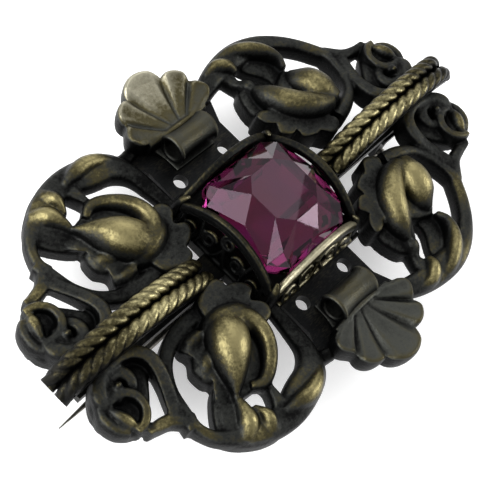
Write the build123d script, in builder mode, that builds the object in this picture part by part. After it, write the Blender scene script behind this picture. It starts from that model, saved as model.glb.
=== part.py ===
"""Oval openwork sash brooch: leaf scrolls, shells and twisted rope straps round a domed glass stone."""

from build123d import *
import os
from math import atan2, cos, degrees, radians, sin

os.makedirs("parts", exist_ok=True)

# Frame: millimetres, X along the brooch, Y across it, Z out of its front.
# The origin is under the middle of the stone, level with the lowest points of the hinge and the catch.
SIDES = (("left", -1), ("right", 1))
EDGES = (("upper", 1), ("lower", -1))

# Levels, from the back fittings to the front
pin_z = 1.0
fitting_z = 4.9
back_z = 5.6
plate_thickness = 1.1
plate_top = back_z + plate_thickness

# Back plate: a frame under the stone, with an arm for each strap and a wing for each shell
seat_half = 7.6
window_half = 5.0
arm_end = 27.6
arm_width = 3.0
wing_root = 5.4
wing_waist = 11.5
wing_tip = 6.7
wing_end = 14.4
wing_window = (3.4, 8.9)
wing_window_radius = 0.8

# Setting
panel_inner = 6.3
panel_thickness = 0.7
panel_half_width = 6.0
rail_depth = 0.9
rail_overhang = 0.2
rail_corner_z = 9.6
rail_middle_z = 12.6
claw_centre = 6.58
claw_width = 0.95
claw_shoulder_z = 9.6
claw_tip_z = 10.7
claw_taper = 18
seat_ring_outer = 6.0
seat_ring_inner = 4.7
seat_ring_top = 8.4

# Stone: half width across the flats at each level
stone_levels = ((7.2, 3.3), (9.6, 6.05), (10.0, 6.05), (12.5, 5.1), (13.9, 3.0))
stone_corner = 0.68

# Leaf scrolls: band levels and the taller parts that stand on the band
band_top = 7.8
leaf_top = 8.7
volute_top = 9.5
bulb_top = 11.3
bulb_centre = (13.7, 8.6)
bulb_crown_scale = 0.45

# Shells and their rolls
shell_top = 9.6
shell_dish_radius = 13.2
shell_dish_depth = 1.1
shell_centre_y = 16.2
neck_half = 3.0
neck_start = 9.9
neck_end = 14.3
neck_top = 7.4
roll_y = 11.6
roll_z = 8.6
roll_radius = 1.75
roll_bore = 1.3
roll_half = 2.8

# Straps: two twisted ropes on an arched strip
rope_radius = 0.85
rope_gap = 0.02
strap_start = (10.2, 8.2)
strap_crown = (19.5, 12.0)
strap_end = (30.0, 10.7)
strip_width = 3.2
strip_thickness = 0.6
strip_start_share = 0.04
foot_x = 11.0
foot_length = 1.4
foot_width = 2.6
foot_height = 0.9
post_x = 26.6
post_length = 1.0
post_width = 2.4
post_height = 3.8

# Hinge, pin and catch
hinge_x = 22.0
hinge_base = (3.8, 3.6)
ear_gap = 1.5
ear_thickness = 0.6
ear_radius = 1.0
ear_root_half = 1.5
rivet_radius = 0.45
rivet_bore = 0.47
rivet_head_radius = 0.75
rivet_head = 0.4
rivet_play = 0.02
eye_radius = 0.95
eye_bore = 0.5
eye_width = 1.3
wire_radius = 0.43
collar_radius = 0.6
collar_start = 0.62
collar_end = 2.5
wire_length = 40.0
shoulder_length = 2.0
shoulder_radius = 0.4
point_length = 6.5
point_radius = 0.06
pin_rest_angle = 1.65
catch_x = -23.0
catch_length = 2.2
catch_base = (4.0, 3.0)
catch_radius = 1.0
catch_bore = 0.6
catch_lip = 0.45


def signed(points, sx, sy):
    """The same outline in another quarter of the brooch."""
    return [(sx * x, sy * y) for x, y in points]


def scaled(points, centre, scale):
    """The outline drawn in towards a centre."""
    return [(centre[0] + scale * (x - centre[0]), centre[1] + scale * (y - centre[1])) for x, y in points]


def finish(piece, name):
    """Labels a finished piece and writes it."""
    piece.part.label = name
    export_step(piece.part, f"parts/{name}.step")


# Back plate, sawn from sheet. Its four small windows lie between the setting and the shell rolls.
with BuildPart() as back_plate:
    with BuildSketch(Plane.XY.offset(back_z)):
        Rectangle(2 * seat_half, 2 * seat_half)
        Rectangle(2 * arm_end, arm_width)
        for _, sy in EDGES:
            with BuildLine():
                wing = [(wing_root, seat_half), (wing_root, wing_waist), (wing_tip, wing_end)]
                Polyline(*signed(wing, 1, sy), *signed(wing[::-1], -1, sy), close=True)
            make_face()
        Rectangle(2 * window_half, 2 * window_half, mode=Mode.SUBTRACT)
        with GridLocations(2 * wing_window[0], 2 * wing_window[1], 2, 2):
            Circle(wing_window_radius, mode=Mode.SUBTRACT)
    extrude(amount=plate_thickness)
finish(back_plate, "back_plate")

# Leaf scrolls: one pattern and its mirror images. A round band leaves the shell, forks into a thorn
# and a double volute beside the strap, and turns back as a branch under the leaf. The left pair also
# has an inner arm that reaches from the band towards the setting.
rim_outer = [(6.6, 15.57), (12.5, 17.5), (22.2, 10.0)]
rim_inner = [(6.5, 13.4), (13.4, 15.3), (20.9, 9.6)]
branch_outer = [(21.8, 10.3), (21.9, 7.2), (19.8, 4.6), (16.2, 3.1), (12.5, 2.9), (9.3, 3.5)]
branch_inner = [(20.7, 10.9), (20.4, 7.7), (18.8, 5.9), (15.9, 4.7), (12.8, 4.5), (10.3, 5.6)]
thorn = [
    (21.5, 10.6), (23.6, 9.7), (26.2, 9.1), (26.1, 8.4), (26.3, 7.2), (24.9, 7.2), (23.2, 8.2), (21.3, 8.7),
]
fork = [(20.6, 6.6), (21.8, 7.4), (22.6, 5.6), (24.0, 4.6), (23.0, 3.2), (21.3, 4.4)]
volute = [
    (22.4, 4.4), (22.6, 2.5), (24.6, 1.6), (28.3, 1.6), (29.5, 3.8), (29.0, 6.0), (27.2, 7.7), (25.2, 7.4),
    (24.3, 5.6),
]
leaf = [
    (7.9, 6.0), (7.7, 9.0), (8.7, 11.6), (11.2, 13.0), (13.2, 12.2), (14.6, 11.6), (17.8, 10.6),
    (18.3, 8.0), (17.6, 5.6), (14.0, 4.2), (10.0, 4.0),
]
leaf_stem = [(14.6, 10.4), (17.4, 10.4), (17.2, 15.8), (13.2, 16.4), (14.7, 13.4)]
curl_tie = [(10.2, 12.2), (12.2, 12.2), (12.6, 15.4), (10.0, 15.2)]
inner_arm = [(5.8, 8.2), (7.3, 8.2), (7.7, 10.8), (8.6, 12.6), (8.9, 14.8), (6.7, 14.8), (6.0, 12.0)]
bulb = [(10.5, 9.3), (12.0, 6.3), (15.2, 7.0), (16.6, 10.4), (13.4, 10.7)]

for side, sx in SIDES:
    for edge, sy in EDGES:
        with BuildPart() as scroll:
            with BuildSketch(Plane.XY.offset(back_z)):
                with BuildLine():
                    rim = ThreePointArc(*signed(rim_outer, sx, sy))
                    inside = ThreePointArc(*signed(rim_inner, sx, sy))
                    Line(rim @ 0, inside @ 0)
                    Line(rim @ 1, inside @ 1)
                make_face()
                with BuildLine():
                    outer_edge = Spline(*signed(branch_outer, sx, sy))
                    inner_edge = Spline(*signed(branch_inner, sx, sy))
                    Line(outer_edge @ 0, inner_edge @ 0)
                    Line(outer_edge @ 1, inner_edge @ 1)
                make_face()
                arms = (thorn, fork, leaf_stem, curl_tie, inner_arm) if sx < 0 else (thorn, fork, leaf_stem, curl_tie)
                for outline in arms:
                    with BuildLine():
                        Polyline(*signed(outline, sx, sy), close=True)
                    make_face()
            extrude(amount=band_top - back_z)
            for outline, top in ((leaf, leaf_top), (volute, volute_top)):
                with BuildSketch(Plane.XY.offset(back_z)):
                    with BuildLine():
                        Spline(*signed(outline, sx, sy), periodic=True)
                    make_face()
                extrude(amount=top - back_z)
            for level, scale in ((leaf_top, 1), (bulb_top, bulb_crown_scale)):
                with BuildSketch(Plane.XY.offset(level)):
                    with BuildLine():
                        Spline(*signed(scaled(bulb, bulb_centre, scale), sx, sy), periodic=True)
                    make_face()
            loft()
            add(back_plate.part, mode=Mode.SUBTRACT)
        finish(scroll, f"scroll_{side}_{edge}")

# Shells: five lobes fanned outwards, with a dished face, and a neck that carries the roll.
lobe_notches = [(4.6, 13.5), (4.8, 16.6), (2.4, 18.5)]
lobe_crowns = [(5.95, 15.0), (4.5, 18.2), (0.0, 20.5)]
for edge, sy in EDGES:
    with BuildPart() as shell:
        with BuildSketch(Plane.XY.offset(plate_top)):
            with BuildLine():
                for sx in (-1, 1):
                    for start, crown, stop in zip(lobe_notches, lobe_crowns, lobe_notches[1:]):
                        ThreePointArc(*signed([start, crown, stop], sx, sy))
                top_notch = lobe_notches[-1]
                ThreePointArc(
                    (-top_notch[0], sy * top_notch[1]),
                    (0, sy * lobe_crowns[-1][1]),
                    (top_notch[0], sy * top_notch[1]),
                )
                root = lobe_notches[0]
                Line((-root[0], sy * root[1]), (root[0], sy * root[1]))
            make_face()
        extrude(amount=shell_top - plate_top)
        with Locations((0, sy * shell_centre_y, shell_top + shell_dish_radius - shell_dish_depth)):
            Sphere(shell_dish_radius, mode=Mode.SUBTRACT)
        with BuildSketch(Plane.XY.offset(plate_top)):
            with Locations((0, sy * (neck_start + neck_end) / 2)):
                Rectangle(2 * neck_half, neck_end - neck_start)
        extrude(amount=neck_top - plate_top)
        with Locations((0, sy * roll_y, roll_z)):
            Cylinder(roll_radius, 2 * neck_half, rotation=(0, 90, 0), mode=Mode.SUBTRACT)
    finish(shell, f"shell_{edge}")

    # The roll is an open tube that lies along the root of its shell.
    with BuildPart() as shell_roll:
        with BuildSketch(Plane.YZ):
            with Locations((sy * roll_y, roll_z)):
                Circle(roll_radius)
                Circle(roll_bore, mode=Mode.SUBTRACT)
        extrude(amount=roll_half, both=True)
    finish(shell_roll, f"shell_roll_{edge}")

# Straps: the ropes' centre line is one arc, and the strip under them is concentric with it.
strap_line = ThreePointArc(strap_start, strap_crown, strap_end)
strap_centre = strap_line.arc_center
strap_radius = strap_line.radius
angle_start = degrees(atan2(strap_start[1] - strap_centre.Y, strap_start[0] - strap_centre.X))
angle_end = degrees(atan2(strap_end[1] - strap_centre.Y, strap_end[0] - strap_centre.X))


def on_arch(raised, share, sx):
    """A point above or below the ropes' centre line, a share of the way along it."""
    angle = radians(angle_start + share * (angle_end - angle_start))
    radius = strap_radius + raised
    return (sx * (strap_centre.X + radius * cos(angle)), strap_centre.Y + radius * sin(angle))


def arch(raised, first, sx):
    """Three points of an arc at one height above the ropes' centre line."""
    return [on_arch(raised, share, sx) for share in (first, (first + 1) / 2, 1)]


for side, sx in SIDES:
    strip_top = -rope_radius - rope_gap
    with BuildPart() as strap_base:
        with BuildSketch(Plane.XZ):
            with BuildLine():
                upper_face = ThreePointArc(*arch(strip_top, strip_start_share, sx))
                lower_face = ThreePointArc(*arch(strip_top - strip_thickness, strip_start_share, sx))
                Line(upper_face @ 0, lower_face @ 0)
                Line(upper_face @ 1, lower_face @ 1)
            make_face()
        extrude(amount=strip_width / 2, both=True)
        with Locations((sx * foot_x, 0, plate_top)):
            Box(foot_length, foot_width, foot_height, align=(Align.CENTER, Align.CENTER, Align.MIN))
        with Locations((sx * post_x, 0, plate_top)):
            Box(post_length, post_width, post_height, align=(Align.CENTER, Align.CENTER, Align.MIN))
    finish(strap_base, f"strap_base_{side}")

    for edge, sy in EDGES:
        rope_y = sy * (rope_radius + rope_gap / 2)
        with BuildPart() as rope:
            with BuildLine(Plane.XZ.offset(-rope_y)) as run:
                ThreePointArc(*arch(0, 0, sx))
            with BuildSketch(Plane(origin=run.line @ 0, z_dir=run.line % 0)):
                Circle(rope_radius)
            sweep(path=run.line)
        finish(rope, f"rope_{side}_{edge}")

# Setting: four pierced gallery panels whose rails arch over the edge of the stone.
pierced_holes = [(0, 9.3, 1.35), (2.7, 8.7, 0.8), (-2.7, 8.7, 0.8), (4.5, 8.0, 0.55), (-4.5, 8.0, 0.55)]
panels = (("left", -1, 0), ("right", 1, 0), ("upper", 0, 1), ("lower", 0, -1))
for name, nx, ny in panels:
    inner_face = Plane(
        origin=(panel_inner * nx, panel_inner * ny, 0), x_dir=(-ny, nx, 0), z_dir=(nx, ny, 0)
    )
    with BuildPart() as gallery_panel:
        with BuildSketch(inner_face):
            with BuildLine():
                crest = ThreePointArc(
                    (-panel_half_width, rail_corner_z), (0, rail_middle_z), (panel_half_width, rail_corner_z)
                )
                Polyline(
                    crest @ 0, (-panel_half_width, plate_top), (panel_half_width, plate_top), crest @ 1
                )
            make_face()
            for across, level, radius in pierced_holes:
                with Locations((across, level)):
                    Circle(radius, mode=Mode.SUBTRACT)
        extrude(amount=panel_thickness)
        with BuildSketch(inner_face.offset(-rail_overhang)):
            with BuildLine():
                crest = ThreePointArc(
                    (-panel_half_width, rail_corner_z), (0, rail_middle_z), (panel_half_width, rail_corner_z)
                )
                foot = ThreePointArc(
                    (-panel_half_width, rail_corner_z - rail_depth),
                    (0, rail_middle_z - rail_depth),
                    (panel_half_width, rail_corner_z - rail_depth),
                )
                Line(crest @ 0, foot @ 0)
                Line(crest @ 1, foot @ 1)
            make_face()
        extrude(amount=panel_thickness + 2 * rail_overhang)
    finish(gallery_panel, f"gallery_panel_{name}")

# Four square corner posts drawn in to blunt claws.
with BuildPart() as corner_claws:
    with BuildSketch(Plane.XY.offset(plate_top)):
        with GridLocations(2 * claw_centre, 2 * claw_centre, 2, 2):
            Rectangle(claw_width, claw_width)
    extrude(amount=claw_shoulder_z - plate_top)
    claw_tops = corner_claws.faces().filter_by(Axis.Z).group_by(Axis.Z)[-1]
    extrude(claw_tops, amount=claw_tip_z - claw_shoulder_z, taper=claw_taper)
finish(corner_claws, "corner_claws")

with BuildPart() as stone_seat:
    with BuildSketch(Plane.XY.offset(plate_top)):
        Rectangle(2 * seat_ring_outer, 2 * seat_ring_outer)
        Rectangle(2 * seat_ring_inner, 2 * seat_ring_inner, mode=Mode.SUBTRACT)
    extrude(amount=seat_ring_top - plate_top)
finish(stone_seat, "stone_seat")

# Stone: a square cushion with cut corners, a shallow back and a high domed crown.
with BuildPart() as stone:
    for level, half in stone_levels:
        cut = stone_corner * half
        with BuildSketch(Plane.XY.offset(level)):
            with BuildLine():
                Polyline(
                    (half, cut), (cut, half), (-cut, half), (-half, cut),
                    (-half, -cut), (-cut, -half), (cut, -half), (half, -cut),
                    close=True,
                )
            make_face()
    loft(ruled=True)
finish(stone, "stone")

# Hinge: a base with two ears, soldered under the right arm of the back plate.
with BuildPart() as hinge:
    with BuildSketch(Plane.XY.offset(fitting_z)):
        with Locations((hinge_x, 0)):
            Rectangle(*hinge_base)
    extrude(amount=back_z - fitting_z)
    for _, sy in EDGES:
        ear_face = Plane.XZ.offset(-sy * (ear_gap + ear_thickness) / 2)
        with BuildSketch(ear_face):
            with BuildLine():
                tip = ThreePointArc(
                    (hinge_x - ear_radius, pin_z),
                    (hinge_x, pin_z - ear_radius),
                    (hinge_x + ear_radius, pin_z),
                )
                Polyline(
                    tip @ 1,
                    (hinge_x + ear_root_half, fitting_z),
                    (hinge_x - ear_root_half, fitting_z),
                    tip @ 0,
                )
            make_face()
            with Locations((hinge_x, pin_z)):
                Circle(rivet_bore, mode=Mode.SUBTRACT)
        extrude(amount=ear_thickness / 2, both=True)
finish(hinge, "hinge_base")

rivet_half = ear_gap / 2 + ear_thickness + rivet_play
with BuildPart() as hinge_rivet:
    with BuildSketch(Plane.XZ):
        with Locations((hinge_x, pin_z)):
            Circle(rivet_radius)
    extrude(amount=rivet_half + rivet_head, both=True)
    for sy in (-1, 1):
        with BuildSketch(Plane.XZ.offset(-sy * (rivet_half + rivet_head / 2))):
            with Locations((hinge_x, pin_z)):
                Circle(rivet_head_radius)
        extrude(amount=rivet_head / 2, both=True)
finish(hinge_rivet, "hinge_rivet")

# Pin: a round wire with a flat eye and a ground point. It rests closed, beside the catch.
wire_line = Plane(
    origin=(hinge_x, 0, pin_z),
    x_dir=(0, 0, 1),
    z_dir=(-cos(radians(pin_rest_angle)), -sin(radians(pin_rest_angle)), 0),
)
with BuildPart() as pin_stem:
    with BuildSketch(Plane.XZ):
        with Locations((hinge_x, pin_z)):
            Circle(eye_radius)
            Circle(eye_bore, mode=Mode.SUBTRACT)
    extrude(amount=eye_width / 2, both=True)
    with BuildSketch(wire_line.offset(collar_start)):
        Circle(collar_radius)
    extrude(amount=collar_end - collar_start)
    with BuildSketch(wire_line.offset(collar_end)):
        Circle(wire_radius)
    extrude(amount=wire_length)
    wire_end = collar_end + wire_length
    point_start = wire_end + shoulder_length
    for start, start_radius, end, end_radius in (
        (wire_end, wire_radius, point_start, shoulder_radius),
        (point_start, shoulder_radius, point_start + point_length, point_radius),
    ):
        with BuildSketch(wire_line.offset(start)):
            Circle(start_radius)
        with BuildSketch(wire_line.offset(end)):
            Circle(end_radius)
        loft()
finish(pin_stem, "pin_stem")

# Catch: an open hook of bent strip, soldered under the left arm. The wire slides in from the lower side.
with BuildPart() as catch:
    with BuildSketch(Plane.XY.offset(fitting_z)):
        with Locations((catch_x, 0)):
            Rectangle(*catch_base)
    extrude(amount=back_z - fitting_z)
    with BuildSketch(Plane.YZ.offset(catch_x)):
        with Locations((0, pin_z)):
            Circle(catch_radius)
            Circle(catch_bore, mode=Mode.SUBTRACT)
            with Locations((-catch_radius / 2, 0)):
                Rectangle(catch_radius, 2 * catch_radius, mode=Mode.SUBTRACT)
        for level in (pin_z - catch_radius, pin_z + catch_bore):
            with Locations((-catch_lip / 2, level)):
                Rectangle(catch_lip, catch_radius - catch_bore, align=(Align.CENTER, Align.MIN))
        with Locations((-catch_lip / 2, pin_z + catch_bore)):
            Rectangle(catch_lip, fitting_z - pin_z - catch_bore, align=(Align.CENTER, Align.MIN))
    extrude(amount=catch_length / 2, both=True)
finish(catch, "catch")
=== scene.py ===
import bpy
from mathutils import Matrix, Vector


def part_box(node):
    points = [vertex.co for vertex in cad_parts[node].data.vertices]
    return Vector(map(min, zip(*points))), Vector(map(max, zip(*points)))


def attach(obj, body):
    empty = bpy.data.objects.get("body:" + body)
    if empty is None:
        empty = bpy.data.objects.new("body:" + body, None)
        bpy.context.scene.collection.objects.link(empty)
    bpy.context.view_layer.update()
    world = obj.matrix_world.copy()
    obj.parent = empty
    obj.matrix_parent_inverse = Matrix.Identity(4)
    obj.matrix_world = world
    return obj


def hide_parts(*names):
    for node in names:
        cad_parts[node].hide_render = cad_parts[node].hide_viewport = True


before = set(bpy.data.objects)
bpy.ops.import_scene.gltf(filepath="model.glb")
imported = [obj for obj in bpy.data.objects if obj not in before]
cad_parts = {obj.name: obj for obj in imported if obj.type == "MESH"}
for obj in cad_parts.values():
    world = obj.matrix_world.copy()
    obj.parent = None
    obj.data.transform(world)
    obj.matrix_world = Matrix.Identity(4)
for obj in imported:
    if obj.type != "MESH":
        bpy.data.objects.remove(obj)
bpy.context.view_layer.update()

from math import pi

import bpy
import numpy as np
from mathutils import Matrix

# --- Back plate ---------------------------------------------------------------------------------
# A plate sawn from brass sheet and blackened. The setting, the straps, the scrolls and the shells are
# soldered to its front, and the hinge and the catch to its back.

METRE = 0.001                    # every shape is worked out in millimetres
BLACKENED, SOOT, WORN_SHEET = "#0f1011", "#040505", "#2c2a22"
GRIT_MM = 0.12                   # a real file mark is finer than this, which is as coarse as it needs to show


def linear(hex_colour):
    """An sRGB hex colour as linear RGBA: ((c + 0.055) / 1.055) ** 2.4, or c / 12.92 near black."""
    c = np.array([int(hex_colour[i:i + 2], 16) / 255 for i in (1, 3, 5)])
    c = np.where(c > 0.04045, ((c + 0.055) / 1.055) ** 2.4, c / 12.92)
    return (*c.tolist(), 1.0)


def add(tree, kind, inputs=(), **settings):
    """Adds a node, sets its properties, and fills its inputs with values or with links from sockets."""
    made = tree.nodes.new("ShaderNode" + kind)
    for name, value in settings.items():
        setattr(made, name, value)
    for key, value in dict(inputs).items():
        if isinstance(value, bpy.types.NodeSocket):
            tree.links.new(value, made.inputs[key])
        else:
            made.inputs[key].default_value = value
    return made


def ramp(tree, fac, stops):
    """A colour ramp node through (place, hex colour) stops."""
    made = add(tree, "ValToRGB", {"Fac": fac})
    while len(made.color_ramp.elements) < len(stops):
        made.color_ramp.elements.new(1.0)
    for element, (place, colour) in zip(made.color_ramp.elements, stops):
        element.position = place
        element.color = linear(colour)
    return made


def new_material(name):
    """A new material, its node tree, and the Principled shader that it starts with."""
    made = bpy.data.materials.new(name)
    made.use_nodes = True
    tree = made.node_tree
    return made, tree, tree.nodes["Principled BSDF"]


def noise(tree, place, grain_mm, detail=4.0, rough=0.55):
    """Noise whose blotches are about grain_mm across."""
    return add(tree, "TexNoise", {"Vector": place, "Scale": 1 / (grain_mm * METRE), "Detail": detail,
                                  "Roughness": rough}).outputs["Fac"]


def blackened_sheet():
    """Brass sheet, filed and oxidised: dark and satin, with fine scratches and paler worn patches."""
    made, tree, shader = new_material("blackened_brass_sheet")
    place = add(tree, "TexCoord").outputs["Object"]
    stretched = add(tree, "Mapping", {"Vector": place, "Scale": (0.25, 1.0, 1.0)}).outputs["Vector"]
    blotch = noise(tree, place, 2.2)
    grit = noise(tree, stretched, GRIT_MM, 2.0)
    tone = add(tree, "Math", {0: blotch, 1: grit}, operation="MULTIPLY").outputs[0]
    colour = ramp(tree, tone, [(0.12, SOOT), (0.26, BLACKENED), (0.46, WORN_SHEET)])
    tree.links.new(colour.outputs["Color"], shader.inputs["Base Color"])
    rough = add(tree, "MapRange", {"Value": blotch, "To Min": 0.36, "To Max": 0.62})
    tree.links.new(rough.outputs["Result"], shader.inputs["Roughness"])
    bump = add(tree, "Bump", {"Height": grit, "Strength": 0.35, "Distance": 0.03 * METRE})
    tree.links.new(bump.outputs["Normal"], shader.inputs["Normal"])
    shader.inputs["Metallic"].default_value = 0.85
    return made


def dress(node, material):
    """Gives a CAD node its material in every slot."""
    for material_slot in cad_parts[node].material_slots:
        material_slot.material = material


sheet_finish = blackened_sheet()
for node in ("back_plate", "stone_seat", "strap_base_left", "strap_base_right"):
    dress(node, sheet_finish)

# --- Leaf scrolls -------------------------------------------------------------------------------
# Four brass castings, a left pattern and a right one, each with its mirror image: a round rim that starts
# at a shell, a thorn and a double volute beside the strap, and an acanthus leaf that rises in the middle.
# Blackened, then rubbed bright on the high places, with painted shade on their walls, in their grooves and
# towards the plate, and painted highlights on their tops and ridges.

PLATE_BACK = 5.6                         # level of the castings' flat back
CAST_GRAIN = 0.15                        # castings are fused on a grid this fine
INK, GUNMETAL, SLATE, OLD_BRASS, RUBBED_BRASS = "#020303", "#0b0b0b", "#2c2d2b", "#413c27", "#877e58"
PIT_MM = 0.35                            # pits and pores left by the casting sand


def smooth(points, count, closed=False):
    """Points along a Catmull-Rom curve through the given ones: each span is the cubic
    (2b + (c - a) t + (2a - 5b + 4c - d) t^2 + (3b - a - 3c + d) t^3) / 2 of its four neighbours."""
    p = np.asarray(points, float)
    p = p.reshape(len(p), -1)
    around = np.vstack([p[-1:], p, p[:2]]) if closed else np.vstack([2 * p[0] - p[1], p, 2 * p[-1] - p[-2]])
    spans = len(p) if closed else len(p) - 1
    t = np.linspace(0, spans, count, endpoint=not closed)
    i = np.minimum(t.astype(int), spans - 1)
    t = (t - i)[:, None]
    a, b, c, d = (around[i + k] for k in range(4))
    return (2 * b + (c - a) * t + (2 * a - 5 * b + 4 * c - d) * t ** 2 + (3 * b - a - 3 * c + d) * t ** 3) / 2


def along(values, count):
    """One number for the whole path, or a few spread evenly along it, as count numbers."""
    values = np.atleast_1d(np.asarray(values, float))
    return np.full(count, values[0]) if len(values) == 1 else smooth(values, count)[:, 0]


def rounded(turn, power):
    """sgn(turn) |turn| ^ power, which squares off a circle's cosine or sine as power falls below 1."""
    return np.sign(turn) * np.abs(turn) ** power


def bar(path, half, high, low=PLATE_BACK, boxy=0.7, stations=40, around=20, lean=0.0):
    """A cast bar: a rounded section, half wide each way, carried along a smooth path in plan.
    across = half * rounded(cos a), level = middle + (high - low) / 2 * rounded(sin a); lean moves its top."""
    centre = smooth(path, stations)[:, :2]
    ahead = np.gradient(centre, axis=0)
    ahead /= np.linalg.norm(ahead, axis=1)[:, None]
    side = np.stack([-ahead[:, 1], ahead[:, 0]], axis=1)
    half, high, low = (along(v, stations)[:, None] for v in (half, high, low))
    a = np.linspace(0, 2 * pi, around, endpoint=False)
    across = half * rounded(np.cos(a), boxy) + lean * half * np.maximum(np.sin(a), 0)
    level = (high + low) / 2 + (high - low) / 2 * rounded(np.sin(a), boxy)
    flat = centre[:, None] + across[..., None] * side[:, None]
    return np.concatenate([flat, level[..., None]], axis=2)


def pad(outline, high, low=PLATE_BACK, crown=0.0, shoulder=0.35, around=72):
    """A cushion on a closed outline: rings drawn in towards its middle, flat below, and above its
    rounded shoulder rising by crown * (1 - share^2)."""
    edge = smooth(outline, around, closed=True)[:, :2]
    centre = edge.mean(axis=0)
    inset = shoulder / np.linalg.norm(edge - centre, axis=1).mean()
    bend = np.linspace(0, pi / 2, 5)
    share = np.concatenate([[0.05, 0.5, 1, 1], 1 - inset * (1 - np.cos(bend[1:])), [0.7, 0.45, 0.2, 0.05]])
    wall = np.concatenate([[low, low, low, high - shoulder], high - shoulder * (1 - np.sin(bend[1:]))])
    level = np.concatenate([wall, high + crown * (1 - share[8:] ** 2)])
    flat = centre + share[:, None, None] * (edge - centre)
    return np.concatenate([flat, np.broadcast_to(level[:, None, None], flat.shape[:2] + (1,))], axis=2)


def spiral(centre, start, turns, radii, half, high, **more):
    """A bar wound into a spiral: radius falls from radii[0] to radii[1] over the turns."""
    share = np.linspace(0, 1, 24)
    angle = np.radians(start) + 2 * pi * turns * share
    radius = radii[0] + (radii[1] - radii[0]) * share ** 0.85
    path = np.stack([centre[0] + radius * np.cos(angle), centre[1] + radius * np.sin(angle)], axis=1)
    return bar(path, half, high, stations=96, **more)


def skin(rings):
    """Vertices and faces of a closed skin over rings of points, with a pole at each end, facing outward."""
    n, m = rings.shape[:2]
    verts = np.concatenate([rings.reshape(-1, 3), rings[:1].mean(axis=1), rings[-1:].mean(axis=1)])
    i, j = np.meshgrid(np.arange(n - 1), np.arange(m), indexing="ij")
    k = (j + 1) % m
    quads = np.stack([i * m + j, i * m + k, (i + 1) * m + k, (i + 1) * m + j], axis=-1).reshape(-1, 4)
    j, k = np.arange(m), (np.arange(m) + 1) % m
    first = np.stack([np.full(m, n * m), k, j], axis=1)
    last = np.stack([np.full(m, n * m + 1), (n - 1) * m + j, (n - 1) * m + k], axis=1)
    a, b, c, d = (verts[quads[:, q]] for q in range(4))
    volume = (np.cross(a, b) * c).sum() + (np.cross(a, c) * d).sum()
    for ends in (first, last):
        a, b, c = (verts[ends[:, q]] for q in range(3))
        volume += (np.cross(a, b) * c).sum()
    faces = quads.tolist() + first.tolist() + last.tolist()
    return verts, faces if volume > 0 else [face[::-1] for face in faces]


def joined(skins):
    """Several skins as one list of vertices and one of faces."""
    verts, faces, count = [], [], 0
    for some_verts, some_faces in skins:
        verts.append(some_verts)
        faces += [[v + count for v in face] for face in some_faces]
        count += len(some_verts)
    return np.concatenate(verts), faces


def piece(name, verts, faces, material, modifiers=()):
    """A finished piece from points in millimetres: modifiers are applied in millimetres, then it is
    brought to metres, so the object itself stays at the origin, unturned and unscaled."""
    mesh = bpy.data.meshes.new(name)
    mesh.from_pydata(np.asarray(verts).tolist(), [], faces)
    made = bpy.data.objects.new(name, mesh)
    bpy.context.scene.collection.objects.link(made)
    for kind, settings in modifiers:
        modifier = made.modifiers.new(kind.lower(), kind)
        for key, value in settings.items():
            setattr(modifier, key, value)
    if modifiers:
        graph = bpy.context.evaluated_depsgraph_get()
        made.data = bpy.data.meshes.new_from_object(made.evaluated_get(graph))
        made.modifiers.clear()
        bpy.data.meshes.remove(mesh)
        made.data.name = name
    made.data.transform([(METRE, 0, 0, 0), (0, METRE, 0, 0), (0, 0, METRE, 0), (0, 0, 0, 1)])
    made.data.shade_smooth()
    made.data.materials.append(material)
    return made


def points_of(mesh, normals=False):
    """The mesh's vertices, or their normals, as an array of rows."""
    out = np.zeros(len(mesh.vertices) * 3, np.float32)
    mesh.vertices.foreach_get("normal" if normals else "co", out)
    return out.reshape(-1, 3).astype(float)


def mark_relief(made, reach=60):
    """Stores, at each vertex, how far it stands above the average of the surface round it, from 0 in a
    deep groove through 0.5 on a flat to 1 on a ridge. The average is reach rounds of neighbours' means."""
    mesh = made.data
    co, up = points_of(mesh) / METRE, points_of(mesh, normals=True)
    edges = np.zeros(len(mesh.edges) * 2, np.int32)
    mesh.edges.foreach_get("vertices", edges)
    a, b = np.concatenate([edges[0::2], edges[1::2]]), np.concatenate([edges[1::2], edges[0::2]])
    links = np.maximum(np.bincount(a, minlength=len(co)), 1)
    soft = co.copy()
    relief = np.zeros(len(co))
    for step in range(1, reach + 1):
        mean = np.stack([np.bincount(a, soft[b, k], len(co)) for k in range(3)], axis=1) / links[:, None]
        soft = (soft + mean) / 2
        if step in (reach // 6, reach):
            relief += ((co - soft) * up).sum(axis=1)
    made.data.attributes.new("relief", "FLOAT", "POINT").data.foreach_set(
        "value", (0.5 + 0.5 * np.tanh(relief * 2.4)).astype(np.float32))
    return made


def mark_rub_and_light(made, spots):
    """Stores, at each vertex, how much bright brass it shows, from handling that has rubbed it and, in some
    pieces' amounts, from
    painted light and painted shade: the sum over the spots (x, y, reach, amount) of amount * exp(-(distance
    in plan / reach)^2)."""
    flat = points_of(made.data)[:, :2] / METRE
    spots = np.asarray(spots, float)
    apart = ((flat[:, None] - spots[:, :2]) ** 2).sum(axis=2)
    rub_and_light = (spots[:, 3] * np.exp(-apart / spots[:, 2] ** 2)).sum(axis=1)
    made.data.attributes.new("rub_and_light", "FLOAT", "POINT").data.foreach_set("value", rub_and_light.astype(np.float32))
    return made


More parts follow.
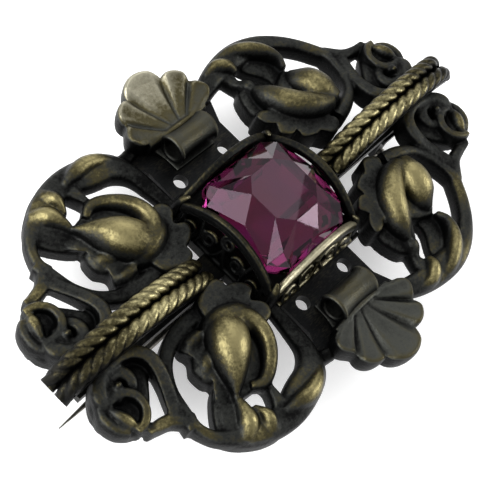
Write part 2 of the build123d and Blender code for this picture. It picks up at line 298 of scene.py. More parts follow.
def oxidised_brass_painted_shade(name, bright=RUBBED_BRASS, patina=SLATE, gloss=(0.38, 0.56), mottle=0.8):
    """Cast brass, blackened in liver of sulphur and rubbed back: near black in the grooves, partly patina and
    partly painted shade, and near black on upright walls and low parts, painted shade; slate grey on the
    tops, painted light; and warm brass where it stands up, partly rubbing and partly painted highlight, and
    where hands and cloth have rubbed it."""
    made, tree, shader = new_material(name)
    place = add(tree, "TexCoord").outputs["Object"]
    # relief: black in grooves and brass on ridges, partly patina and rubbing, partly painted shade and
    # painted highlight
    relief = add(tree, "Attribute", attribute_name="relief").outputs["Fac"]
    rub_and_light = add(tree, "Attribute", attribute_name="rub_and_light").outputs["Fac"]
    blotch = noise(tree, place, 2.6, 5.0, 0.6)
    pits = noise(tree, place, PIT_MM, 3.0, 0.7)
    # facing: painted light on the tops and painted shade on upright walls
    up = add(tree, "SeparateXYZ", {0: add(tree, "NewGeometry").outputs["Normal"]}).outputs["Z"]
    # height: painted shade, darker towards the plate
    level = add(tree, "SeparateXYZ", {0: place}).outputs["Z"]
    tone = 0.06
    for value, low, high, dark, light in (
        (relief, 0.0, 1.0, 0.0, 0.5), (rub_and_light, 0.0, 1.0, 0.0, 0.42), (up, -0.1, 0.75, -0.3, 0.06),
        (level, 6.0 * METRE, 9.5 * METRE, -0.18, 0.04), (blotch, 0.3, 0.7, -0.10 * mottle, 0.09 * mottle),
        (pits, 0.3, 0.7, -0.12 * mottle, 0.08 * mottle),
    ):
        part = add(tree, "MapRange", {"Value": value, "From Min": low, "From Max": high,
                                      "To Min": dark, "To Max": light}).outputs["Result"]
        tone = add(tree, "Math", {0: tone, 1: part}, operation="ADD").outputs[0]
    colour = ramp(tree, tone, [(0.14, INK), (0.28, GUNMETAL), (0.46, patina), (0.62, OLD_BRASS),
                               (0.86, bright)])
    tree.links.new(colour.outputs["Color"], shader.inputs["Base Color"])
    rough = add(tree, "MapRange", {"Value": tone, "From Min": 0.25, "From Max": 0.8,
                                   "To Min": gloss[1], "To Max": gloss[0]})
    tree.links.new(rough.outputs["Result"], shader.inputs["Roughness"])
    bump = add(tree, "Bump", {"Height": pits, "Strength": 0.7, "Distance": 0.08 * METRE})
    tree.links.new(bump.outputs["Normal"], shader.inputs["Normal"])
    shader.inputs["Metallic"].default_value = 0.92
    return made


def stand_for(made, node):
    """Lets a piece of the frame take the place of a CAD node."""
    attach(made, "frame")
    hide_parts(node)


def casting(name, skins, material, node, spots, grain=CAST_GRAIN, soften=4):
    """Fuses overlapping skins into one casting, softens its joins, marks its relief and its rubbing with
    painted light, and lets it stand for a CAD node."""
    made = piece(name, *joined(skins), material, [
        ("REMESH", {"mode": "VOXEL", "voxel_size": grain, "adaptivity": 0.0}),
        ("SMOOTH", {"factor": 0.5, "iterations": soften}),
    ])
    mark_relief(made)
    mark_rub_and_light(made, spots)
    stand_for(made, node)


cast_brass_painted_shade = oxidised_brass_painted_shade("cast_brass_rubbing_and_painted_shade")

# Rubbed places: x, y, reach and amount, for the quarter where x and y are positive.
left_spots = np.array([(14.0, 7.8, 3.3, 1.0), (10.6, 7.6, 1.6, 0.35), (17.6, 14.3, 2.2, 0.95),
                       (10.5, 15.7, 2.4, 0.85), (24.4, 8.7, 1.7, 0.6), (26.5, 6.6, 1.0, 0.7),
                       (21.6, 11.5, 1.5, 0.45)])
right_spots = np.array([(11.8, 8.0, 2.4, 1.0), (15.8, 7.4, 2.4, 1.0), (13.8, 15.8, 2.6, 0.8),
                        (9.2, 16.0, 1.8, 0.7), (20.6, 11.6, 2.0, 0.6), (26.5, 6.6, 1.5, 0.5)])

left_collar = [(13.4, 2.4), (11.8, 1.5), (10.3, 1.4), (9.7, 1.9), (9.8, 2.6), (8.8, 3.0), (7.9, 3.8),
               (7.8, 4.7), (8.8, 5.4), (7.9, 6.5), (8.1, 7.6), (9.2, 8.0), (11.5, 7.4), (13.6, 5.2)]
left_blade = [(11.6, 3.6), (9.9, 5.6), (9.5, 8.0), (10.2, 10.4), (12.0, 11.8), (14.4, 12.0), (16.6, 11.4),
              (17.4, 9.0), (17.4, 6.2), (16.4, 4.2), (14.0, 3.5)]
left_scallops = [(14.0, 3.9), (16.2, 3.5), (17.5, 4.4), (17.3, 5.6), (18.1, 6.8), (18.0, 8.3), (17.5, 9.1),
                 (18.6, 10.2), (17.6, 11.2), (15.6, 10.6), (14.0, 8.0)]
left_stem = [(16.4, 10.2), (17.7, 9.3), (19.1, 10.4), (20.2, 11.8), (20.9, 13.2), (19.8, 14.9), (17.6, 16.4),
             (15.4, 16.8), (15.5, 14.9), (16.1, 13.4), (16.2, 11.8)]
volute_outline = [(21.4, 3.6), (22.2, 1.9), (24.0, 1.1), (26.4, 1.4), (28.1, 3.0), (28.5, 5.0), (27.8, 6.8),
                  (26.3, 7.7), (24.6, 7.2), (23.0, 5.8)]
volute_parts = [
    # volute: its body, the band that winds over it, the disc and eye inside, and the small roll
    pad(volute_outline, 8.5, low=6.3, crown=0.1, shoulder=0.8),
    bar([(22.6, 9.4), (21.9, 7.6), (21.2, 5.9), (20.8, 4.3), (20.9, 2.9), (21.7, 1.8), (23.1, 1.3),
         (24.8, 1.3), (26.3, 1.9), (27.2, 3.0), (27.1, 4.2)],
        (0.8, 0.75, 0.75, 0.75, 0.75, 0.7, 0.65, 0.65, 0.7, 0.75, 0.5),
        (8.3, 8.6, 9.0, 9.5, 9.8, 9.9, 9.9, 9.9, 9.9, 9.8, 9.4), boxy=0.4, low=6.6, lean=0.15, stations=80),
    spiral((24.9, 3.2), 60, 1.0, (1.45, 1.0), (0.5, 0.85, 0.9), (8.9, 9.6, 9.5), boxy=0.7, low=6.8),
    bar([(24.9, 3.2), (25.3, 3.4), (25.5, 3.8)], (0.5, 0.55, 0.3), (10.1, 10.2, 9.6), low=6.8, boxy=1.0),
    bar([(26.9, 3.9), (25.5, 3.9), (24.5, 4.9), (24.5, 6.3), (25.4, 7.3), (26.6, 7.6)],
        (0.5, 0.6, 0.55, 0.5, 0.5, 0.4), (9.5, 9.7, 9.7, 9.6, 9.5, 9.2), low=6.6, boxy=0.55),
    bar([(27.2, 4.4), (26.9, 5.5), (26.5, 6.5), (26.2, 7.2)], (0.5, 0.75, 0.7, 0.3), (9.4, 9.8, 9.6, 9.0),
        low=6.6, boxy=1.0),
    bar([(27.7, 3.4), (28.1, 4.8), (27.8, 6.2), (27.0, 7.2)], (0.4, 0.6, 0.6, 0.4), (9.2, 9.3, 9.2, 8.8),
        low=6.3, boxy=0.8),
    # thorn
    bar([(21.4, 10.3), (23.0, 8.8), (24.6, 8.3), (25.8, 8.3)], (0.9, 0.75, 0.65, 0.35), (8.3, 8.5, 8.5, 9.0),
        low=6.2),
]
left_parts = [
    # rim with an inner arm to the setting, its branch beside the strap, and its foot at the shell
    bar([(6.4, 6.9), (6.7, 10.2), (7.3, 12.6), (8.8, 14.4), (11.0, 15.2), (13.6, 15.75), (16.5, 15.4),
         (19.0, 14.2), (20.7, 12.9), (21.5, 11.5), (21.8, 10.2)],
        (0.7, 0.95, 1.1, 1.6, 1.8, 1.6, 1.3, 1.0, 0.7, 0.6, 0.7),
        (7.2, 7.3, 7.8, 8.4, 8.4, 8.3, 8.4, 8.3, 8.1, 8.2, 8.3), boxy=0.7, stations=80),
    bar([(22.0, 10.8), (21.6, 8.6), (21.0, 6.6), (19.6, 4.6), (17.6, 3.3), (15.2, 2.8), (12.9, 3.0)],
        (0.8, 0.75, 0.75, 0.75, 0.8, 0.9, 0.9), (8.4, 8.4, 8.2, 8.0, 8.0, 8.3, 8.6), boxy=0.5),
    bar([(5.2, 14.5), (6.8, 14.2), (8.4, 14.4)], (0.7, 0.8, 1.0), (7.4, 7.6, 8.0), boxy=0.7),
    # leaf: its collar and blade, the shoulder that bulb and curl spring from, and its scalloped edge
    pad(left_collar, 9.3, shoulder=0.3, around=96),
    pad(left_blade, 8.0, crown=0.5, shoulder=0.6),
    bar([(9.9, 6.4), (11.3, 5.4), (13.2, 4.9), (14.8, 5.2)], (0.9, 1.3, 1.4, 0.9), (9.9, 10.6, 10.5, 9.4),
        boxy=1.0),
    bar([(12.2, 5.0), (13.3, 6.3), (14.5, 7.9), (15.7, 9.6), (16.9, 11.2)],
        (1.7, 2.15, 2.05, 1.3, 0.3), (10.5, 11.2, 11.3, 10.5, 8.9), low=6.5, boxy=0.95, around=32),
    bar([(12.2, 5.5), (10.8, 6.5), (10.4, 8.2), (11.0, 9.9), (12.4, 11.4), (13.8, 12.0), (15.0, 11.4)],
        (1.2, 1.05, 0.95, 0.9, 0.8, 0.7, 0.5), (10.7, 10.6, 10.3, 10.0, 9.5, 9.1, 8.6), low=6.5, boxy=0.8),
    pad(left_scallops, 8.1, crown=0.3, shoulder=0.7, around=96),
    bar([(15.0, 4.6), (16.3, 4.6), (17.2, 5.2)], (0.9, 0.9, 0.5), (8.9, 8.7, 8.2), boxy=1.0),
    bar([(15.8, 6.6), (16.8, 7.2), (17.6, 7.9)], (0.9, 1.0, 0.6), (8.9, 8.8, 8.2), boxy=1.0),
    # stem: a leaf that wraps the rim in two soft folds, with a third lobe beside it, and the curl's tie
    pad(left_stem, 7.7, crown=0.4, shoulder=0.6, around=96),
    bar([(16.9, 10.9), (17.2, 12.4), (17.9, 13.9), (19.3, 14.9)], (0.4, 0.85, 1.2, 0.9), (8.5, 9.1, 9.3, 8.3),
        boxy=1.0),
    bar([(16.2, 13.0), (16.0, 14.6), (16.6, 16.1)], (0.4, 0.9, 1.1), (8.4, 9.2, 8.5), boxy=1.0),
    bar([(14.2, 15.4), (12.6, 15.7), (10.8, 15.8), (9.0, 15.2), (7.6, 14.2)], (0.6, 1.0, 1.1, 0.9, 0.5),
        (8.6, 9.2, 9.3, 8.9, 8.0), boxy=0.95),
    bar([(13.7, 11.6), (13.5, 12.8), (13.9, 14.6)], (0.7, 0.5, 0.9), (8.8, 8.3, 8.4)),
]

# On the right the leaf springs from beside the strap, and its curl is the longer of its two lobes.
right_collar = [(13.2, 2.1), (14.3, 2.3), (14.9, 3.5), (12.0, 6.1), (9.0, 8.8), (7.6, 8.9), (7.8, 7.6),
                (8.6, 6.9), (8.2, 5.8), (9.1, 4.9), (10.0, 5.0), (10.0, 3.9), (11.5, 3.2), (12.2, 3.2)]
right_blade = [(14.5, 3.2), (12.0, 4.6), (9.6, 6.6), (8.2, 9.0), (8.3, 11.0), (9.2, 12.6), (11.2, 12.4),
               (12.5, 10.4), (14.0, 11.0), (15.6, 11.4), (17.4, 9.6), (18.4, 7.6), (18.4, 5.4), (17.0, 3.4)]
right_stem = [(13.8, 10.4), (15.5, 10.6), (16.5, 11.8), (16.8, 13.0), (16.4, 14.8), (14.5, 16.6),
              (12.0, 17.0), (11.7, 15.4), (12.2, 14.0), (13.4, 12.2)]
right_parts = [
    # rim, and its branch beside the strap
    bar([(5.2, 14.6), (8.2, 15.7), (11.0, 16.2), (13.6, 16.2), (16.0, 15.7), (18.2, 14.3), (19.9, 12.5),
         (21.3, 10.4)],
        (0.9, 1.3, 1.5, 1.5, 1.15, 0.95, 0.85, 0.8), (7.8, 8.2, 8.4, 8.3, 8.3, 8.3, 8.3, 8.3), boxy=0.7,
        stations=80),
    bar([(15.8, 3.4), (17.8, 4.0), (19.5, 5.0), (20.6, 6.6), (21.2, 8.6), (21.4, 10.4)],
        (0.9, 0.9, 0.7, 0.6, 0.6, 0.7), (9.0, 9.2, 9.0, 8.7, 8.5, 8.4), boxy=0.7),
    # leaf: its collar and blade, and its long and short lobes
    pad(right_collar, 9.3, shoulder=0.3, around=96),
    pad(right_blade, 8.2, crown=0.4, shoulder=0.7, around=96),
    bar([(15.9, 5.0), (13.7, 5.7), (12.0, 7.1), (11.0, 8.8), (10.5, 10.4), (10.3, 11.9)],
        (1.0, 1.5, 1.7, 1.6, 1.25, 0.5), (10.4, 11.1, 11.2, 10.9, 10.2, 8.8), low=6.5, boxy=0.95, around=32),
    bar([(16.8, 4.9), (16.1, 6.4), (15.8, 8.1), (15.4, 9.6), (15.3, 10.9)],
        (1.1, 1.8, 1.9, 1.5, 0.6), (10.2, 11.0, 10.9, 10.2, 8.7), low=6.5, boxy=0.95, around=32),
    # stem: the tie under the long lobe, the leaf that wraps the rim, and its two ridges
    bar([(10.4, 11.6), (10.3, 12.5), (9.8, 13.6), (9.7, 15.2)], (0.9, 0.95, 0.75, 1.3), (8.7, 8.8, 8.0, 8.2),
        boxy=0.9),
    pad(right_stem, 7.3, crown=0.2, shoulder=0.5, around=96),
    bar([(15.8, 11.6), (15.9, 13.0), (15.1, 14.6), (13.6, 15.9), (11.8, 16.7), (10.2, 17.0)],
        (0.5, 0.7, 0.9, 1.0, 0.9, 0.5), (8.4, 9.0, 9.3, 9.3, 9.0, 8.2), boxy=0.95),
    bar([(10.6, 14.4), (10.1, 15.5), (9.0, 16.3), (7.4, 16.2)], (0.6, 0.9, 0.9, 0.5), (8.6, 9.3, 9.1, 8.2),
        boxy=0.95),
]
UPPER_RIGHT_SHADED_SHARE = 0.6                 # the upper right scroll shows less brass than the others, painted shade

for side, sx in (("left", -1), ("right", 1)):
    for edge, sy in (("upper", 1), ("lower", -1)):
        quarter = np.array([sx, sy, 1.0])
        name = f"scroll_{side}_{edge}"
        parts, spots = (left_parts, left_spots) if sx < 0 else (right_parts, right_spots)
        # the upper right scroll's rubbing amounts are scaled down, painted shade
        rub_and_light_share = UPPER_RIGHT_SHADED_SHARE if sx > 0 and sy > 0 else 1.0
        casting("cast_" + name, [skin(part * quarter) for part in parts + volute_parts], cast_brass_painted_shade, name,
                spots * (sx, sy, 1, rub_and_light_share))

# --- Shells -------------------------------------------------------------------------------------
# Two cast scallop shells of five lobes, with deep lobed sides and a dished face. An open roll, bent up
# from sheet, lies along the root of each, with a flat strip between.

SHELL_ROOT_Y, SHELL_TOP, SHELL_BACK, SHELL_DISH = 12.2, 9.6, 6.7, 0.75
lobe_angles = np.array([-74.2, -47.5, -20.9, 20.9, 47.5, 74.2])
notch_reach = np.array([4.8, 6.4, 6.6, 6.6, 6.4, 4.8])
crown_reach = np.array([6.5, 7.4, 8.3, 7.4, 6.5])
SHELL_LIP, FLUTE_DEPTH = 0.12, 0.7


def fluted_shell(sy):
    """A fan of lobes about its root: the edge reaches from notch to crown as the root of a sine, and the
    face sinks towards the root, with a rounded flute in each lobe and a dark groove between."""
    angle = np.linspace(lobe_angles[0], lobe_angles[-1], 181)
    lobe = np.clip(np.searchsorted(lobe_angles, angle, side="right") - 1, 0, 4)
    share = (angle - lobe_angles[lobe]) / (lobe_angles[lobe + 1] - lobe_angles[lobe])
    swell = np.sin(pi * np.clip(share, 0, 1)) ** 0.5
    notch = notch_reach[lobe] + share * (notch_reach[lobe + 1] - notch_reach[lobe])
    reach = notch + swell * (crown_reach[lobe] - notch)
    out = np.array([0.03, 0.12, 0.25, 0.4, 0.55, 0.7, 0.82, 0.9, 0.955, 0.985, 1.0, 1.005, 1.0, 0.985, 0.97,
                    0.95, 0.03])
    turn = np.radians(angle)
    drop = np.array([0, 0, 0, 0, 0, 0, 0, 0, 0, 0.1, 0.35, 1.0, 1.8, 2.5, 2.9, 2.9, 2.9])
    face = SHELL_TOP - SHELL_DISH * (1 - out ** 2.2)
    lip = SHELL_LIP * np.exp(-((out - 0.95) / 0.05) ** 2)
    flute = FLUTE_DEPTH * (np.minimum(swell * 1.3, 1) ** 1.5 - 1) * np.clip(out * 1.4, 0, 1)[:, None]
    fallen = drop[:, None]
    level = (face + lip - drop)[:, None] + np.where(fallen < 0.2, flute, flute * 0.3 * (fallen < 2))
    level[-6:] = np.minimum(level[-6:], SHELL_TOP)
    level = np.maximum(level, SHELL_BACK)
    radius = out[:, None] * reach
    return np.stack([radius * np.sin(turn), sy * (SHELL_ROOT_Y + radius * np.cos(turn)), level], axis=2)


shell_brass_painted_shade = oxidised_brass_painted_shade("shell_brass_rubbing_and_painted_shade", "#a8a491", "#3f403c", mottle=0.3)
for edge, sy in (("upper", 1), ("lower", -1)):
    quarter = np.array([1.0, sy, 1.0])
    shell_parts = [
        fluted_shell(sy),
        bar([(-4.2, 13.35), (0, 13.2), (4.2, 13.35)], (0.3, 0.45, 0.3), (8.9, 9.2, 8.9), low=6.7) * quarter,
        bar([(0, 9.9), (0, 11.6), (0, 13.6)], (2.9, 3.0, 3.9), (7.1, 7.1, 7.9), low=6.7, boxy=0.3) * quarter,
    ]
    # rubbed pale towards the outer edge; the upper shell far more than the lower: painted light on the upper
    # face, painted shade on the lower
    casting(f"cast_shell_{edge}", [skin(part) for part in shell_parts], shell_brass_painted_shade, f"shell_{edge}",
            [(0, sy * 20, 7, 0.9 if sy > 0 else 0.2)], grain=0.12, soften=2)

ROLL_Y, ROLL_Z, ROLL_HALF = 11.6, 8.6, 2.8
ROLL_WAIST, ROLL_FLARE, ROLL_BORE, ROLL_LIP = 1.42, 0.3, 1.15, 0.28


def open_roll(sy):
    """A tube turned about a line along X: its outer radius grows from 1.42 in the middle to 1.72 at the
    ends, 1.42 + 0.3 |x / half|^2.5, the ends are rolled over a half circle, and its bore is 1.15."""
    bend = np.linspace(0, pi, 9)
    outside = np.linspace(-1, 1, 25)
    straight = ROLL_HALF - ROLL_LIP
    x = np.concatenate([outside * straight, straight + ROLL_LIP * np.sin(bend),
                        -outside * straight, -straight - ROLL_LIP * np.sin(bend)])
    outer = ROLL_WAIST + ROLL_FLARE * np.abs(outside) ** 2.5
    middle, reach = (outer[0] + ROLL_BORE) / 2, (outer[0] - ROLL_BORE) / 2
    radius = np.concatenate([outer, middle + reach * np.cos(bend), np.full(len(outside), ROLL_BORE),
                             middle - reach * np.cos(bend)])
    a = np.linspace(0, 2 * pi, 64, endpoint=False)[:, None]
    return np.stack([np.broadcast_to(x, (64, len(x))), sy * ROLL_Y + radius * np.cos(a),
                     ROLL_Z + radius * np.sin(a)], axis=2)


def ring_skin(rings):
    """Vertices and faces of rings that close on themselves both ways, as on a tube with a bore."""
    n, m = rings.shape[:2]
    i, j = np.meshgrid(np.arange(n), np.arange(m), indexing="ij")
    i2, j2 = (i + 1) % n, (j + 1) % m
    quads = np.stack([i * m + j, i * m + j2, i2 * m + j2, i2 * m + j], axis=-1).reshape(-1, 4)
    verts = rings.reshape(-1, 3)
    a, b, c, d = (verts[quads[:, q]] for q in range(4))
    volume = (np.cross(a, b) * c).sum() + (np.cross(a, c) * d).sum()
    return verts, (quads if volume > 0 else quads[:, ::-1]).tolist()


for edge, sy in (("upper", 1), ("lower", -1)):
    made = piece(f"open_shell_roll_{edge}", *ring_skin(open_roll(sy)), shell_brass_painted_shade)
    mark_relief(made, 24)
    mark_rub_and_light(made, [(0, sy * 11.3, 3, 0.3)])
    stand_for(made, f"shell_roll_{edge}")

# --- Straps -------------------------------------------------------------------------------------
# Each strap is two twisted ropes of brass wire, laid side by side on an arched strip, twisted
# opposite ways so that their strands meet in a herringbone.

ROPE_RADIUS, STRAND_STEP, STRANDS = 0.85, 1.42, 3     # a strand comes up every STRAND_STEP along the rope
BEND_START, BEND_RUN, BEND_DROP = 27.6, 2.4, 1.3      # where the ropes turn down at their outer ends
strap_points = np.array([(10.2, 8.2), (19.5, 12.0), (30.0, 10.7)])


def circle_through(points):
    """Centre and radius of the circle through three points, from the two chords' bisectors."""
    a, b, c = points
    centre = np.linalg.solve(2 * np.array([b - a, c - a]), np.array([b @ b - a @ a, c @ c - a @ a]))
    return centre, np.linalg.norm(a - centre)


def twisted_rope(sx, sy):
    """A rope along the strap's arc: at angle a round it and distance s along it, its radius is
    r (0.76 + 0.24 |cos(STRANDS a / 2 - pi s / step)|^0.8), which makes round strands with sharp grooves. Its
    outer end is bent down by 1.3 ((x - 27.6) / 2.4)^2."""
    centre, radius = circle_through(strap_points)
    first, last = (np.arctan2(*(p - centre)[::-1]) for p in (strap_points[0], strap_points[-1]))
    t = np.linspace(first, last, 260)[:, None]
    a = np.linspace(0, 2 * pi, 36, endpoint=False)
    s = radius * (first - t)
    strand = np.abs(np.cos(STRANDS * a / 2 - sy * sx * pi * s / STRAND_STEP)) ** 0.8
    r = ROPE_RADIUS * (0.76 + 0.24 * strand)
    run = radius + r * np.sin(a)
    bend = BEND_DROP * np.clip((centre[0] + radius * np.cos(t) - BEND_START) / BEND_RUN, 0, 1) ** 2
    return np.stack([sx * (centre[0] + run * np.cos(t)), sy * (ROPE_RADIUS + 0.01) + r * np.cos(a),
                     centre[1] + run * np.sin(t) - bend], axis=2)


rope_brass_painted_shade = oxidised_brass_painted_shade("rope_brass_rubbing_and_painted_shade", "#aea57a", "#15140f", (0.3, 0.5))
for side, sx in (("left", -1), ("right", 1)):
    for edge, sy in (("upper", 1), ("lower", -1)):
        made = piece(f"twisted_rope_{side}_{edge}", *skin(twisted_rope(sx, sy)), rope_brass_painted_shade)
        mark_relief(made, 12)
        # brighter brass about the middle of each strap, darker towards its outer end
        mark_rub_and_light(made, [(sx * 17, 0, 9, 0.8)])
        stand_for(made, f"rope_{side}_{edge}")

# --- Setting ------------------------------------------------------------------------------------
# Four sides of brass filigree: scrolls of wire under a double rail that arches over the stone's edge,
# with blunt claws where they meet. The ledge inside carries the stone.

PANEL_FACE, PANEL_HALF, RAIL_CORNER, RAIL_MIDDLE = 6.65, 6.15, 9.45, 12.45


def wire(points, radius, stations=48, around=10):
    """A round wire through points in space: each ring stands square to the path, in the plane of the
    path's side and its own normal."""
    centre = smooth(points, stations)
    ahead = np.gradient(centre, axis=0)
    ahead /= np.linalg.norm(ahead, axis=1)[:, None]
    side = np.cross(ahead, (0.0, 1.0, 0.0))
    side /= np.linalg.norm(side, axis=1)[:, None]
    across = np.cross(side, ahead)
    a = np.linspace(0, 2 * pi, around, endpoint=False)[:, None]
    radius = along(radius, stations)[:, None, None]
    return centre[:, None] + radius * (np.cos(a) * side[:, None] + np.sin(a) * across[:, None])


def curl(u, z, radius, start, turns, thick):
    """A flat coil of wire on the panel's face, wound in to its eye. The panel flares out towards its foot."""
    share = np.linspace(0, 1, 14)
    angle = np.radians(start) + 2 * pi * turns * share
    reach = radius * (1 - 0.75 * share)
    level = z + reach * np.sin(angle)
    return wire(np.stack([u + reach * np.cos(angle), 0.3 * (10.2 - level), level], axis=1), thick, 60)


def rail_line(drop, out, half=PANEL_HALF):
    """The arch from corner to corner: z = corner + (middle - corner) (1 - (u / half)^2) - drop."""
    u = np.linspace(-half, half, 11)
    arch = RAIL_CORNER + (RAIL_MIDDLE - RAIL_CORNER) * (1 - (u / half) ** 2)
    return np.stack([u, np.full(len(u), out), arch - drop], axis=1)


half_wires = [
    curl(-1.9, 8.7, 0.95, 20, 1.6, 0.22), curl(-4.2, 8.1, 0.75, 200, -1.5, 0.2),
    wire([(-1.0, 0.8, 7.1), (-0.4, 0.6, 8.0), (0, 0.3, 9.1)], 0.22),
    wire([(-3.1, 0.8, 7.1), (-3.0, 0.5, 8.6), (-3.4, 0, 10.6)], 0.22),
    wire([(-5.4, 0.7, 7.0), (-5.4, 0.4, 8.4), (-5.5, 0, 9.4)], 0.26),
]
panel_wires = [
    wire(rail_line(0.1, 0.08), 0.3), wire(rail_line(0.85, 0.2), 0.28), wire(rail_line(0.5, 0.1), 0.36),
    wire(rail_line(0.3, -0.15), 0.34), wire(rail_line(0.8, 0.0, 5.9), 0.34),
    wire([(-6.0, 0.7, 7.0), (0, 0.7, 7.0), (6.0, 0.7, 7.0)], 0.36),
    curl(0.0, 10.0, 0.9, 90, 1.6, 0.22),
] + half_wires + [part * (-1, 1, 1) for part in half_wires]
gallery_brass_painted_shade = oxidised_brass_painted_shade("filigree_brass_rubbing_and_painted_shade", "#b0aa90", "#161716")
# the lower panel is made pale brass and the others dark: a painted highlight on the lower rail, painted shade
# on the others
panel_sides = (("left", -1, 0, 0.12), ("right", 1, 0, 0.1), ("upper", 0, 1, 0.1), ("lower", 0, -1, 1.0))
for name, nx, ny, rub_and_light_share in panel_sides:
    turned = np.array([(-ny, nx, 0), (nx, ny, 0), (0, 0, 1)], float)
    face = np.array([PANEL_FACE * nx, PANEL_FACE * ny, 0])
    casting(f"filigree_panel_{name}", [skin(part @ turned + face) for part in panel_wires], gallery_brass_painted_shade,
            f"gallery_panel_{name}", [(0, 0, 20, rub_and_light_share)], grain=0.11, soften=1)

claws = []
for sx in (-1, 1):
    for sy in (-1, 1):
        quarter = np.array([sx, sy, 1.0])
        claws.append(skin(wire([(6.75, 6.75, 6.75), (6.72, 6.7, 8.4), (6.5, 6.5, 9.5), (6.1, 6.1, 10.3)],
                               (0.55, 0.6, 0.5, 0.16), 24, 14) * quarter))
casting("corner_claw_castings", claws, gallery_brass_painted_shade, "corner_claws", [(0, 0, 12, 0.5)], grain=0.1,
        soften=1)

# --- Stone --------------------------------------------------------------------------------------
# A square cushion of amethyst-coloured pressed glass: a table, star and kite facets down to its girdle,
# and a shallow faceted back, open to the light from behind.

RED_TINT, GLASS, VIOLET_TINT = "#560f26", "#521638", "#5a2458"
GIRDLE_TOP, GIRDLE_LOW = 10.0, 9.6       # levels of the band at its widest
stone_low, stone_high = (np.array(corner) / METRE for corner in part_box("stone"))


def octagon(half, cut, level):
    """Eight corners of a square with its corners cut off."""
    corners = np.array([(1, cut), (cut, 1), (-cut, 1), (-1, cut),
                        (-1, -cut), (-cut, -1), (cut, -1), (1, -cut)])
    return np.column_stack([corners * half, np.full(8, level)])


def cut_stone():
    """Rings of eight corners from culet to table. From the table down, triangles and kites meet at eight
    high points, a steep band runs round below them, and the back is a plain faceted pavilion."""
    half, low, top = stone_high[0], stone_low[2], stone_high[2]
    table = octagon(3.15, 0.52, top)
    high = (np.roll(octagon(5.15, 0.66, 0), -1, axis=0) + octagon(5.15, 0.66, 0)) / 2 * 1.05
    high[:, 2] = top - 1.35
    shoulder = octagon(half * 0.985, 0.7, top - 2.9)
    girdle = octagon(half, 0.7, GIRDLE_TOP)
    under = octagon(half, 0.7, GIRDLE_LOW)
    back = octagon(half * 0.55, 0.62, low)
    verts = np.concatenate([table, high, shoulder, girdle, under, back])
    faces = [list(range(8))]
    for i in range(8):
        j = (i + 1) % 8
        faces += [[i, 8 + i, j], [j, 8 + i, 16 + j, 8 + j], [8 + i, 16 + i, 16 + j],
                  [16 + i, 24 + i, 24 + j, 16 + j], [24 + i, 32 + i, 32 + j, 24 + j],
                  [32 + i, 40 + i, 40 + j, 32 + j]]
    faces.append(list(range(47, 39, -1)))
    return verts, faces


def pressed_glass():
    """Coloured glass: clear, with a soft swirl in its tint and small rubs on its facets."""
    made, tree, shader = new_material("amethyst_pressed_glass")
    place = add(tree, "TexCoord").outputs["Object"]
    swirl = noise(tree, place, 5.0, 2.0)
    colour = ramp(tree, swirl, [(0.3, RED_TINT), (0.55, GLASS), (0.75, VIOLET_TINT)])
    tree.links.new(colour.outputs["Color"], shader.inputs["Base Color"])
    rubs = noise(tree, place, 0.5, 3.0, 0.7)
    rough = add(tree, "MapRange", {"Value": rubs, "From Min": 0.5, "From Max": 0.8,
                                   "To Min": 0.01, "To Max": 0.12})
    tree.links.new(rough.outputs["Result"], shader.inputs["Roughness"])
    shader.inputs["Transmission Weight"].default_value = 1.0
    shader.inputs["IOR"].default_value = 1.5
    shader.inputs["Specular Tint"].default_value = linear("#d8bcd0")
    return made


verts, faces = cut_stone()
stone = piece("faceted_stone", verts, faces, pressed_glass(), [("BEVEL", {"width": 0.05, "segments": 2})])
stone.data.shade_flat()
stand_for(stone, "stone")

# --- Hinge, pin and catch -----------------------------------------------------------------------
# The hinge and the catch are bent from the same sheet as the plate. The pin is hard-drawn steel wire
# on a steel rivet, ground to a point.


def drawn_steel():
    """Steel wire, drawn and then ground: bright, with fine marks along it and a few grey stains."""
    made, tree, shader = new_material("drawn_steel_wire")
    place = add(tree, "TexCoord").outputs["Object"]
    long_marks = add(tree, "Mapping", {"Vector": place, "Scale": (0.08, 1.0, 1.0)}).outputs["Vector"]
    marks = noise(tree, long_marks, 0.15, 2.0)
    stain = noise(tree, place, 1.6, 4.0)
    colour = ramp(tree, stain, [(0.35, "#4a4742"), (0.55, "#85827b"), (0.7, "#a8a59c")])
    tree.links.new(colour.outputs["Color"], shader.inputs["Base Color"])
    rough = add(tree, "MapRange", {"Value": marks, "To Min": 0.22, "To Max": 0.45})
    tree.links.new(rough.outputs["Result"], shader.inputs["Roughness"])
    bump = add(tree, "Bump", {"Height": marks, "Strength": 0.2, "Distance": 0.02 * METRE})
    tree.links.new(bump.outputs["Normal"], shader.inputs["Normal"])
    shader.inputs["Metallic"].default_value = 1.0
    return made


steel_finish = drawn_steel()
for node in ("hinge_rivet", "pin_stem"):
    dress(node, steel_finish)
for node in ("hinge_base", "catch"):
    dress(node, sheet_finish)

# --- Table, lamps and camera --------------------------------------------------------------------
# The brooch lies on a pale table that glows faintly, a painted light that lifts the shadows, under soft
# lamps, seen from above its lower left.

AZIMUTH, ELEVATION, ROLL = (np.radians(v) for v in (-75.0, 57.6, 32.0))
DISTANCE, SLIDE, LENS, SENSOR = 121.0, (1.9, 3.0), 85.5, 36.0
AIM_HEIGHT = 7.8                         # the camera looks at this height over the middle of the brooch
TABLE_HALF, TABLE_TOP = 400, -0.03       # just under the hinge and the catch, so that no faces meet


def glowing_white_table():
    """Matt white paint that glows faintly, a painted light that lifts the shadows under the brooch."""
    made, tree, shader = new_material("matt_white_glowing_table")
    place = add(tree, "TexCoord").outputs["Object"]
    colour = ramp(tree, noise(tree, place, 40.0), [(0.3, "#f4f4f4"), (0.7, "#fafafa")])
    tree.links.new(colour.outputs["Color"], shader.inputs["Base Color"])
    shader.inputs["Roughness"].default_value = 0.9
    # glow: painted light that lifts the shadows under the brooch
    shader.inputs["Emission Color"].default_value = linear("#ffffff")
    shader.inputs["Emission Strength"].default_value = 0.3
    return made


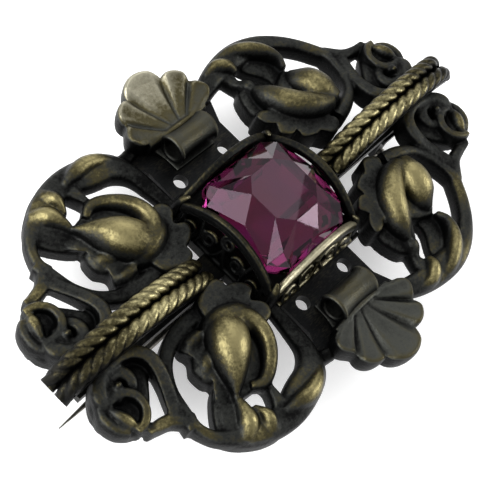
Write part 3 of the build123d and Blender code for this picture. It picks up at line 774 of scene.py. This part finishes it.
def placed(right, up, back, where):
    """A Blender matrix that faces an object along -back and puts it where given, in millimetres."""
    turned = np.eye(4)
    turned[:3] = np.column_stack([right, up, back, np.asarray(where) * METRE])
    return Matrix(turned.tolist())


def lamp(name, place, size, power):
    """A square soft lamp, aimed at the origin."""
    data = bpy.data.lights.new(name, "AREA")
    data.shape, data.size, data.energy = "SQUARE", size * METRE, power
    made = bpy.data.objects.new(name, data)
    bpy.context.scene.collection.objects.link(made)
    back = np.array(place, float) / np.linalg.norm(place)
    right = np.cross((0, 0, 1), back)
    right /= np.linalg.norm(right)
    made.matrix_world = placed(right, np.cross(back, right), back, place)


corners = [(sx * TABLE_HALF, sy * TABLE_HALF, TABLE_TOP) for sx, sy in ((-1, -1), (1, -1), (1, 1), (-1, 1))]
piece("table_top", corners, [(0, 1, 2, 3)], glowing_white_table())
lamp("window", (-190, 88, 85), 240, 1.0)
lamp("ceiling", (110, 110, 175), 150, 0.13)
lamp("far_window", (154, -126, 117), 80, 0.22)

world = bpy.data.worlds.new("soft_room")
bpy.context.scene.world = world
world.use_nodes = True
sky = world.node_tree.nodes["Background"]
sky.inputs["Color"].default_value = linear("#ffffff")
sky.inputs["Strength"].default_value = 0.75

flat = np.cos(ELEVATION)
back = np.array([np.sin(AZIMUTH) * flat, -np.cos(AZIMUTH) * flat, np.sin(ELEVATION)])
level_right = np.array([np.cos(AZIMUTH), np.sin(AZIMUTH), 0])
level_up = np.cross(back, level_right)
right = np.cos(ROLL) * level_right + np.sin(ROLL) * level_up
up = np.cross(back, right)
eye = DISTANCE * back - SLIDE[0] * right - SLIDE[1] * up + np.array([0, 0, AIM_HEIGHT])
camera_data = bpy.data.cameras.new("camera")
camera_data.lens = LENS
camera_data.sensor_width = SENSOR
camera_data.clip_start = 0.001
camera = bpy.data.objects.new("camera", camera_data)
bpy.context.scene.collection.objects.link(camera)
camera.matrix_world = placed(right, up, back, eye)
bpy.context.scene.camera = camera
bpy.context.scene.view_settings.view_transform = "Standard"
